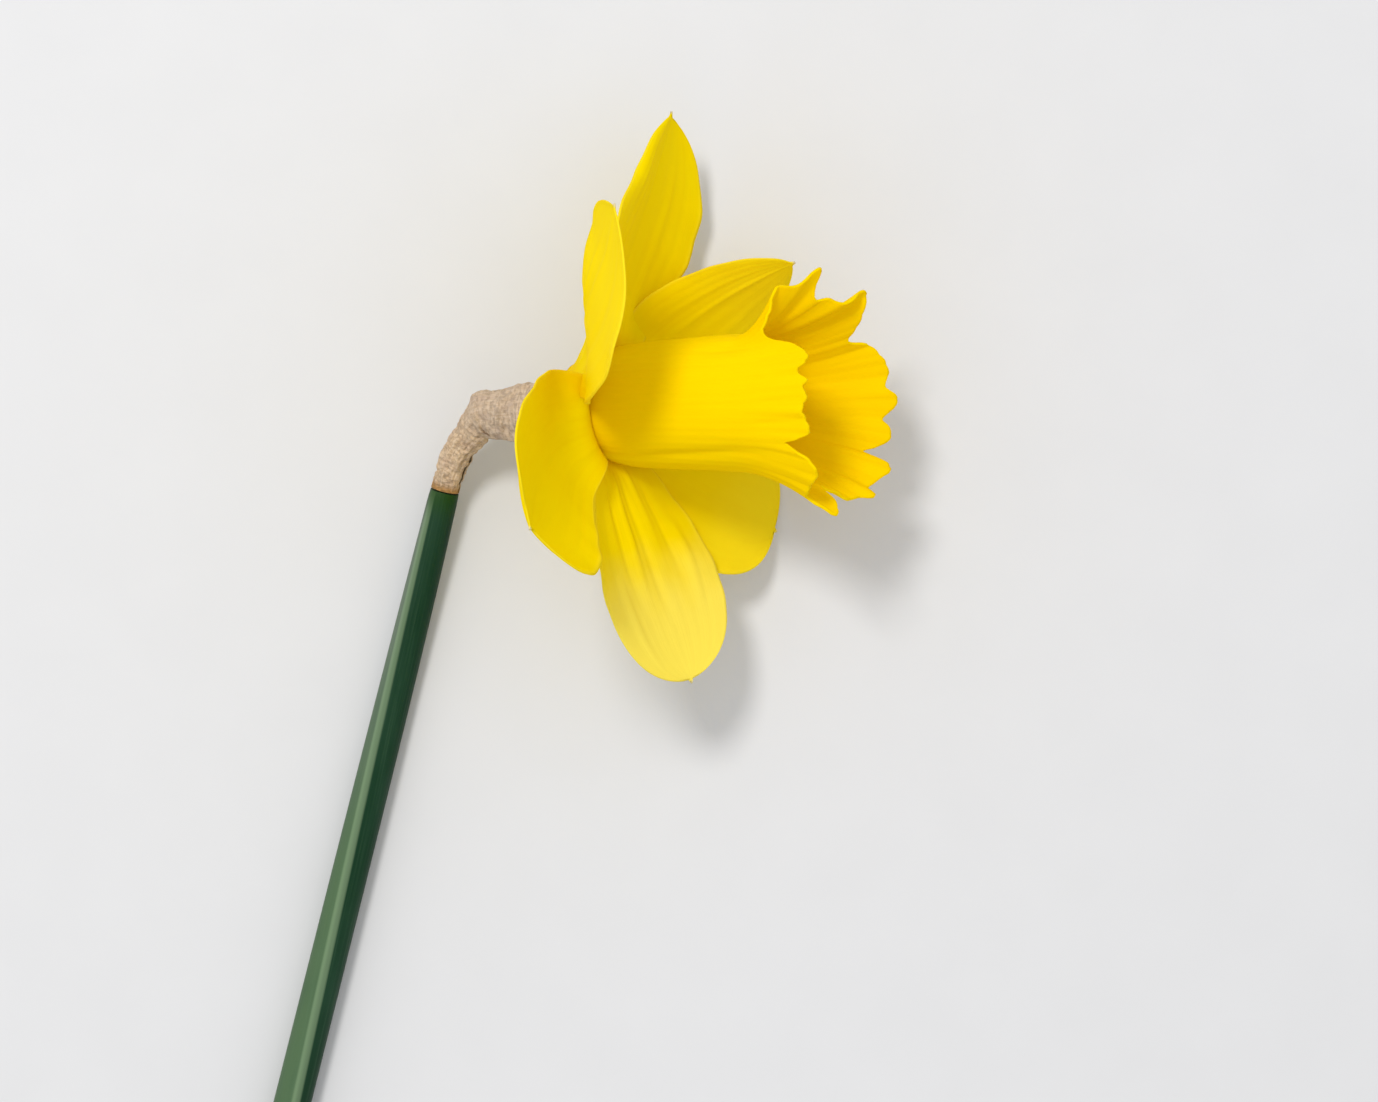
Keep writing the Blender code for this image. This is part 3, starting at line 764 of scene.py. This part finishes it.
def petal_relief(s, t, shape, seed):
    """How far the surface stands in front of the plain section: ribs, veins and a wavy margin."""
    relief = 0.0
    for place, depth, first, last in shape["ribs"]:
        fade = clamped((s - first) / 0.12) * clamped((last - s) / 0.25)
        relief -= depth * fade * hump(t, place * (1.0 - 0.2 * s), RIB_SPREAD)
    fullness = math.sin(math.pi * clamped(s))
    relief += VEIN_DEPTH * math.cos(VEINS * t + 0.6 * math.sin(5.0 * s + seed)) * fullness
    ripple = RIPPLE_DEPTH * noise.noise(Vector((s * 5.0, seed * 3.1, t * 1.2)))
    margin = MARGIN_DEPTH * noise.noise(Vector((s * 9.0, seed, 7.0 if t > 0 else 2.0)))
    return relief + (ripple + margin * abs(t) ** 5) * fullness ** 0.7


def petal_material(name, paleness_and_sheen):
    """Satin yellow that lets light through: deeper at the base, as painted shade where it meets the
    trumpet, and paler towards the tip, strongly so on one petal as painted sheen.
    """
    material, place, flow = new_material(name)
    along = flow.part(1)
    veins = flow.spread(16.0, 0.035, 1.0).noise(1.0, 4.0, 0.6)
    fine = flow.spread(60.0, 0.25, 1.0).noise(1.0, 2.0, 0.5)
    cells = place.noise(4200.0, 2.0, 0.5)
    patches = flow.spread(1.2, 0.06, 1.0).noise(1.5, 3.0, 0.5)
    # Painted shade: deeper colour over the first 9 mm, where the petal meets the trumpet.
    colour = along.step(0.0, 9.0).mix(VEIN_AND_SHADE_YELLOW, PETAL_YELLOW)
    colour = (veins.step(0.42, 0.72) * 0.16).mix(colour, VEIN_AND_SHADE_YELLOW)
    colour = (patches.step(0.40, 0.75) * 0.35).mix(colour, WARM_YELLOW)
    # Paler towards the tip: a little on most petals as their own colour, and strongly on one as
    # painted sheen.
    pale_tip_and_sheen = (along + patches * 14.0).step(25.0, 42.0) * paleness_and_sheen
    colour = pale_tip_and_sheen.mix(colour, PALE_YELLOW)
    at_margin = flow.part(0).size().step(0.92, 1.0) * 0.12
    colour = at_margin.mix(colour, PALE_YELLOW)
    colour = flow.part(2).step(0.35, 0.9).mix(colour, TIP_COLOUR)
    height = veins * 0.6 + fine * 0.25 + cells * 0.15
    dress(material, 0.30, PETAL_GLOW, colour=colour, roughness=veins * 0.15 + 0.46,
          specular=0.01, normal=bump(height, 0.00009))
    return material


for number, (name, shape) in enumerate(PETALS.items()):
    points, across, normal = petal_midrib(shape)
    row_s = [1.0 - (1.0 - row / PETAL_ROWS) ** ROW_CROWDING for row in range(PETAL_ROWS + 1)]
    sections = [petal_section(s, shape) for s in row_s]

    def petal_place(row, column):
        s = row_s[row]
        station = s * (len(points) - 1)
        low = min(int(station), len(points) - 2)
        share = station - low
        t = 2.0 * column / PETAL_COLUMNS - 1.0
        width, height = (offsets[column] for offsets in sections[row])
        waist = shape["waist"] if t > 0 else NO_WAIST
        half = side_width(s, shape["sides"][0 if t < 0 else 1], shape["base"], waist)
        middle_point = points[low] * (1.0 - share) + points[low + 1] * share
        lift = half * height + petal_relief(s, t, shape, number + 1.0)
        point = middle_point + across[low] * half * width + normal[low] * lift
        point[2] += shoulder_rise(s * shape["length"], *shape["shoulder"])
        tip = max(0.0, 1.0 - (1.0 - s) / (MUCRO * 1.4))
        return Vector(point), Vector((t, s * shape["length"], tip))

    skin = petal_material(name + "_skin", shape["pale"])
    petal = make_piece(name + "_blade", sheet(PETAL_ROWS, PETAL_COLUMNS, petal_place), HEAD, skin)
    fullness = petal.vertex_groups.new(name="fullness")
    flow_values = petal.data.attributes["flow"].data
    for vert in petal.data.vertices:
        t = flow_values[vert.index].vector.x
        fullness.add([vert.index], 1.0 - abs(t) ** 3, "REPLACE")
    add_wall(petal, PETAL_WALL, "fullness", PETAL_EDGE)
    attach(petal, "root")
    "tepal_" + name.split("_")[0]
    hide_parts(name)

# ---------------------------------------------------------------------------------------------
# Trumpet: the corona, one deep yellow tube with fine lengthwise creases, grown from the top of
# the floral tube. It is nearly straight for two thirds of its length, and then its limb flares
# into a frill of notched, rounded lobes. Its inside has a material of its own, the outside's
# made deeper as painted shade inside the trumpet.
# ---------------------------------------------------------------------------------------------
TRUMPET_START = -0.2
TRUMPET_WALL = 0.5
TRUMPET_RADIUS = 10.6
TRUMPET_TAPER = 0.05
TRUMPET_NECK = 3.6
TRUMPET_NECK_LENGTH = 2.6
LIMB_START = 29.0
LIMB_POWER = 1.75
LIMB_SHARE = 0.50            # part of the rings that the limb takes
TRUMPET_SIDES = 360
TRUMPET_RINGS = 96
TEETH = 31.0
TOOTH_REACH = 0.30
RIM_BACK = 0.2
RIPPLE_COUNTS = (23.0, 37.0)
RIPPLE_HEIGHT = 0.16
TRUMPET_RIBS = 48.0
TRUMPET_RIB = 0.018
WOBBLE = (0.35, 1.5, 0.07)   # how deep, how close round the trumpet, and how close along it
WOBBLE_FADE = 10.0
TRUMPET_FLOW = 10.0
TRUMPET_YELLOW = (0.97, 0.745, 0.0)
TRUMPET_VEIN_AND_SHADE = (0.93, 0.60, 0.0)
TRUMPET_GLOW = (0.99, 0.79, 0.0)
# The inside's colours are the outside's made deeper, as painted shade inside the trumpet.
INSIDE_SHADED_YELLOW = (0.96, 0.695, 0.0)
INSIDE_SHADED_DEEP = (0.90, 0.54, 0.0)
INSIDE_SHADED_GLOW = (0.98, 0.745, 0.0)
TRUMPET_THROUGH = (1.0, 0.60, 0.0)

# The frill, as (angle round the axis, radius, reach along the axis). 0 is level, 90 faces up.
FRILL = (
    (3, 23.5, 43.8), (10, 21.0, 40.6), (18, 21.0, 37.9), (29, 17.3, 36.8), (38, 15.0, 36.2),
    (47, 15.0, 41.0), (54, 15.2, 44.6), (60, 15.5, 46.2), (66, 15.6, 46.0), (72, 15.3, 44.7),
    (77, 15.5, 46.8), (83, 15.4, 46.1), (88, 15.6, 46.9), (96, 15.4, 46.0), (104, 15.5, 46.4),
    (110, 15.6, 47.0), (114, 15.4, 46.4), (118, 15.0, 44.0), (122, 14.6, 41.6), (129, 15.8, 45.0),
    (136, 16.7, 46.8), (142, 16.9, 46.8), (149, 17.0, 45.2), (158, 17.3, 43.6), (165, 17.7, 42.8),
    (170, 19.2, 44.8), (174, 19.9, 46.4), (178, 19.7, 46.9), (182, 18.2, 46.0), (188, 15.4, 42.6),
    (198, 16.9, 43.9), (208, 19.4, 45.2), (214, 20.3, 46.2), (217, 21.2, 48.1), (220, 21.3, 48.3),
    (223, 20.6, 46.6), (227, 21.0, 47.4), (234, 20.9, 49.6), (240, 21.2, 48.9), (244, 19.6, 44.6),
    (249, 21.3, 46.6), (254, 21.3, 48.6), (259, 21.0, 48.4), (263, 20.5, 47.2), (268, 21.0, 49.0),
    (274, 21.0, 49.8), (280, 20.1, 48.0), (286, 20.9, 48.4), (293, 20.7, 48.0), (299, 20.2, 46.8),
    (305, 19.0, 45.2), (311, 17.4, 43.4), (321, 18.6, 46.0), (330, 21.5, 47.8), (335, 22.0, 47.6),
    (343, 18.7, 46.4), (352, 18.5, 43.6), (358, 18.7, 41.9),
)

# Creases pressed into the wall, as (angle where they start, angle at the frill, start along the
# axis, depth, half width in degrees).
CREASES = (
    (152, 128, 4.0, 0.55, 7.0), (92, 88, 36.0, 0.22, 2.2), (108, 104, 35.0, 0.24, 2.4),
    (70, 72, 38.0, 0.22, 2.5), (44, 38, 22.0, 0.45, 6.0), (12, 12, 26.0, 0.45, 6.0),
    (190, 187, 24.0, 0.50, 6.0), (216, 222, 30.0, 0.30, 4.0), (240, 244, 26.0, 0.40, 5.0),
    (262, 263, 32.0, 0.25, 4.0), (282, 280, 32.0, 0.25, 4.0), (308, 311, 24.0, 0.50, 6.0),
    (350, 346, 26.0, 0.40, 5.0), (330, 325, 33.0, 0.25, 4.0),
)


def smooth_closed(stations, angle):
    """A smooth closed curve through (angle, a, b) stations, read at one angle in degrees."""
    count = len(stations)
    index = 0
    while index < count and stations[index][0] <= angle:
        index += 1
    picked = [stations[(index + step) % count] for step in (-2, -1, 0, 1)]
    first, last = picked[1][0], picked[2][0]
    span = (last - first) % 360.0
    f = ((angle - first) % 360.0) / span
    weights = (-f + 2 * f * f - f ** 3, 2 - 5 * f * f + 3 * f ** 3,
               f + 4 * f * f - 3 * f ** 3, f ** 3 - f * f)
    weighted = list(zip(weights, picked))
    return [sum(weight * station[part] for weight, station in weighted) / 2.0 for part in (1, 2)]


def trumpet_wall_radius(z):
    """Radius of the plain tube, which draws in to meet the petals' ring."""
    neck = TRUMPET_NECK * math.exp(-(z - TRUMPET_START) / TRUMPET_NECK_LENGTH)
    return TRUMPET_RADIUS + TRUMPET_TAPER * z - neck


def turn_from(angle, other):
    """The difference between two angles, from -180 to 180 degrees."""
    return (angle - other + 180.0) % 360.0 - 180.0


frill_at = {}


def trumpet_place(angle, f):
    degrees = math.degrees(angle) % 360.0
    turn = math.radians(degrees)
    key = round(degrees * 10)
    if key not in frill_at:
        frill_at[key] = smooth_closed(FRILL, degrees)
    rim_radius, rim_reach = frill_at[key]
    rim_reach += TOOTH_REACH * abs(math.sin(turn * TEETH)) ** 0.6 - RIM_BACK
    if f < 1.0 - LIMB_SHARE:
        z = between((TRUMPET_START, LIMB_START), (f / (1.0 - LIMB_SHARE)) ** 1.15)
        limb = 0.0
    else:
        limb = (f - 1.0 + LIMB_SHARE) / LIMB_SHARE
        z = between((LIMB_START, rim_reach), limb)
    radius = trumpet_wall_radius(z)
    radius += (rim_radius - trumpet_wall_radius(rim_reach)) * limb ** LIMB_POWER
    for first, last, start, depth, width in CREASES:
        reach = clamped((z - start) / max(rim_reach - start, 1.0))
        off = turn_from(degrees, between((first, last), reach))
        fade = clamped(reach * 4.0) * (1.0 - 0.5 * limb)
        radius -= depth * fade * hump(off, 0.0, width)
    ripples = math.sin(turn * RIPPLE_COUNTS[0]) + 0.7 * math.sin(turn * RIPPLE_COUNTS[1] + 1.0)
    radius += RIPPLE_HEIGHT * ripples * limb ** 2.5
    radius += TRUMPET_RIB * math.cos(turn * TRUMPET_RIBS) * min(z / 6.0, 1.0)
    radius += round_noise(angle, z, *WOBBLE) * clamped(z / WOBBLE_FADE)
    return ring_point(radius, angle, z), ring_point(TRUMPET_FLOW, angle, z)


def trumpet_material(name, yellow, deep, glow):
    """Satin yellow with fine lengthwise veins, and deeper at the base, as painted shade where it
    meets the petals.
    """
    material, place, flow = new_material(name)
    veins = flow.spread(1.0, 1.0, 0.02).noise(1.9, 5.0, 0.65)
    patches = flow.spread(0.16, 0.16, 0.05).noise(1.0, 3.0, 0.5)
    cells = place.noise(3800.0, 2.0, 0.5)
    colour = (veins.step(0.40, 0.70) * 0.14).mix(yellow, deep)
    colour = (patches.step(0.40, 0.75) * 0.30).mix(colour, glow)
    # Painted shade: deeper colour over the first 6 mm, where the trumpet meets the petals.
    colour = (flow.part(2).step(6.0, 0.0) * 0.4).mix(colour, deep)
    height = veins * 0.7 + cells * 0.15
    dress(material, 0.24, TRUMPET_THROUGH, colour=colour, roughness=veins * 0.15 + 0.45,
          specular=0.01, normal=bump(height, 0.00005))
    return material


trumpet_outside = trumpet_material("trumpet_outside", TRUMPET_YELLOW, TRUMPET_VEIN_AND_SHADE, TRUMPET_GLOW)
trumpet_inside_shaded = trumpet_material("trumpet_inside_shaded", INSIDE_SHADED_YELLOW, INSIDE_SHADED_DEEP, INSIDE_SHADED_GLOW)
trumpet_bm = pipe(TRUMPET_SIDES, TRUMPET_RINGS, trumpet_place, capped=False)
trumpet = make_piece("trumpet_corona", trumpet_bm, HEAD, trumpet_outside, trumpet_inside_shaded)
add_wall(trumpet, TRUMPET_WALL)
trumpet.modifiers["wall"].material_offset = 1
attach(trumpet, "root")
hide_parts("trumpet")

# ---------------------------------------------------------------------------------------------
# Stamens: six slender filaments that stand in the tube, each with a long anther on its tip. An
# anther is two pollen sacs side by side, with a seam between them, dusty with golden pollen.
# ---------------------------------------------------------------------------------------------
STAMEN_TURN = 30.0
FILAMENT_GRID = (16, 30)
FILAMENT_SPAN = (-8.0, 17.0)
FILAMENT_RADII = (0.5, 0.325)
FILAMENT_OUT = (2.9, 3.3)
FILAMENT_BOW = 0.18
FILAMENT_FLOW = 25.0
ANTHER_GRID = (28, 36)
ANTHER_LENGTH = 9.0
ANTHER_RADIUS = 0.95
ANTHER_FLAT = 0.85
ANTHER_SEAM = 0.30
ANTHER_OUT = 3.15
ANTHER_BOW = 0.35
FILAMENT_COLOUR = (0.82, 0.70, 0.10)
FILAMENT_GREEN = (0.74, 0.72, 0.20)
FILAMENT_GLOW = (0.9, 0.8, 0.15)
ANTHER_COLOUR = (0.80, 0.46, 0.03)
POLLEN_DUST = (0.92, 0.64, 0.10)
POLLEN_GRAIN = (0.95, 0.72, 0.20)

filament_skin, _, filament_flow = new_material("filament_skin")
filament_streaks = filament_flow.spread(2.0, 2.0, 0.3).noise(1.0, 3.0)
filament_colour = filament_streaks.step(0.3, 0.7).mix(FILAMENT_COLOUR, FILAMENT_GREEN)
dress(filament_skin, 0.15, FILAMENT_GLOW, colour=filament_colour, roughness=0.4, specular=0.35)

pollen, pollen_place, _ = new_material("anther_pollen")
grains = pollen_place.node("ShaderNodeTexVoronoi", {}, {"Vector": pollen_place, "Scale": 5200.0})
dusting = pollen_place.noise(900.0, 3.0, 0.6)
pollen_colour = dusting.step(0.35, 0.7).mix(ANTHER_COLOUR, POLLEN_DUST)
pollen_colour = (grains.step(0.5, 0.1) * 0.4).mix(pollen_colour, POLLEN_GRAIN)
dress(pollen, colour=pollen_colour, roughness=0.85, specular=0.15, normal=bump(grains, 0.00012))

for index in range(STAMENS):
    turn = math.radians(STAMEN_TURN + 360.0 / STAMENS * index)
    outward = ring_point(1.0, turn, 0.0)
    beside = Vector((-outward.y, outward.x, 0.0))

    def filament_shape(angle, f):
        out = between(FILAMENT_OUT, f) + FILAMENT_BOW * math.sin(math.pi * f)
        centre = outward * out + Vector((0.0, 0.0, between(FILAMENT_SPAN, f)))
        offset = ring_point(between(FILAMENT_RADII, f), angle, 0.0)
        return centre + offset, ring_point(1.0, angle, f * FILAMENT_FLOW)

    def anther_shape(angle, f):
        taper = math.sin(math.pi * (0.06 + 0.88 * f)) ** 0.45
        half = ANTHER_RADIUS * taper * (1.0 - ANTHER_SEAM * abs(math.cos(angle)) ** 6)
        z = FILAMENT_SPAN[1] + GAP + ANTHER_LENGTH * f
        out = ANTHER_OUT + ANTHER_BOW * math.sin(math.pi * f)
        out += half * math.cos(angle) * ANTHER_FLAT
        point = outward * out + beside * half * math.sin(angle) + Vector((0.0, 0.0, z))
        return point, point

    filament_bm = pipe(*FILAMENT_GRID, filament_shape)
    filament = make_piece(f"filament_{index + 1}_stalk", filament_bm, HEAD, filament_skin)
    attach(filament, "root")
    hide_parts(f"filament_{index + 1}")

    anther_bm = pipe(*ANTHER_GRID, anther_shape)
    anther = make_piece(f"anther_{index + 1}_sacs", anther_bm, HEAD, pollen)
    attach(anther, "root")
    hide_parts(f"anther_{index + 1}")

# ---------------------------------------------------------------------------------------------
# Pistil: the style, a smooth pale rod up the middle from the ovary, and the stigma on its end,
# which opens into three short, slightly hairy lobes.
# ---------------------------------------------------------------------------------------------
STYLE_GRID = (24, 40)
STYLE_SPAN = (-14.0, 32.0)
STYLE_RADIUS = 0.65
STIGMA_GRID = (60, 20)
STIGMA_LENGTH = 2.4
STIGMA_RADII = (0.62, 1.75)
STIGMA_CUPS = ((0.25, 0.08), (0.25, -0.25))
PISTIL_COLOUR = (0.80, 0.74, 0.18)
PISTIL_GREEN = (0.70, 0.72, 0.26)


def style_shape(angle, f):
    radius = STYLE_RADIUS * (1.0 + 0.06 * math.cos(3.0 * angle))
    point = ring_point(radius, angle, between(STYLE_SPAN, f))
    return point, point


def stigma_shape(angle, f):
    lobe = math.cos(3.0 * angle)
    radius = between(STIGMA_RADII, f ** 0.8) * (0.80 + 0.30 * lobe * f)
    z = STYLE_SPAN[1] + GAP + STIGMA_LENGTH * f + 0.25 * lobe * f ** 2
    point = ring_point(radius, angle, z)
    return point, point


pistil_skin, pistil_place, pistil_flow = new_material("pistil_skin")
pistil_streaks = pistil_flow.spread(2.0, 2.0, 0.2).noise(1.0, 3.0)
pistil_dots = pistil_place.noise(3000.0, 3.0, 0.6)
pistil_colour = pistil_streaks.step(0.3, 0.7).mix(PISTIL_COLOUR, PISTIL_GREEN)
dress(pistil_skin, colour=pistil_colour, roughness=pistil_dots * 0.3 + 0.35, specular=0.35,
      normal=bump(pistil_dots, 0.00006))

style = make_piece("style_rod", pipe(*STYLE_GRID, style_shape), HEAD, pistil_skin)
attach(style, "root")
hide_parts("style")

stigma_bm = pipe(*STIGMA_GRID, stigma_shape)
stigma_caps = [face for face in stigma_bm.faces if len(face.verts) > 4]
stigma_top = max(stigma_caps, key=lambda face: face.calc_center_median().z)
for inset, depth in STIGMA_CUPS:
    bmesh.ops.inset_individual(stigma_bm, faces=[stigma_top], thickness=inset, depth=depth)
stigma = make_piece("stigma_lobes", stigma_bm, HEAD, pistil_skin)
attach(stigma, "root")
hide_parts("stigma")

# ---------------------------------------------------------------------------------------------
# Surface and light: a plain pale floor, one soft key light from high above the top of the
# flower, and an even pale surround.
# ---------------------------------------------------------------------------------------------
FLOOR_SIZE = 3.0
KEY_FROM = Vector((-0.24, 0.36, 0.90))
KEY_DISTANCE = 1.1
KEY_SIZE = 0.24
KEY_POWER = 6.5
KEY_COLOUR = (1.0, 0.985, 0.96)
SURROUND = 0.88
SURROUND_COLOUR = (0.97, 0.98, 1.0, 1.0)
FLOOR_COLOURS = ((0.615, 0.615, 0.62), (0.640, 0.640, 0.645))

floor_bm = bmesh.new()
bmesh.ops.create_grid(floor_bm, x_segments=1, y_segments=1, size=FLOOR_SIZE)
floor_paint, floor_place, _ = new_material("floor_paint")
floor_colour = floor_place.noise(60.0, 3.0, 0.5).mix(*FLOOR_COLOURS)
dress(floor_paint, colour=floor_colour, roughness=0.8, specular=0.2)
floor = make_piece("floor", floor_bm, Matrix.Identity(4), floor_paint)

key_light = bpy.data.lights.new("key", "AREA")
key_light.shape = "DISK"
key_light.size = KEY_SIZE
key_light.energy = KEY_POWER
key_light.color = KEY_COLOUR
key = bpy.data.objects.new("key", key_light)
key.location = CENTRE + KEY_FROM.normalized() * KEY_DISTANCE
key.rotation_euler = KEY_FROM.to_track_quat("Z", "Y").to_euler()
bpy.context.scene.collection.objects.link(key)

world = bpy.data.worlds.new("surround")
world.use_nodes = True
background = world.node_tree.nodes["Background"]
background.inputs["Color"].default_value = SURROUND_COLOUR
background.inputs["Strength"].default_value = SURROUND
bpy.context.scene.world = world
bpy.context.scene.view_settings.view_transform = "Standard"
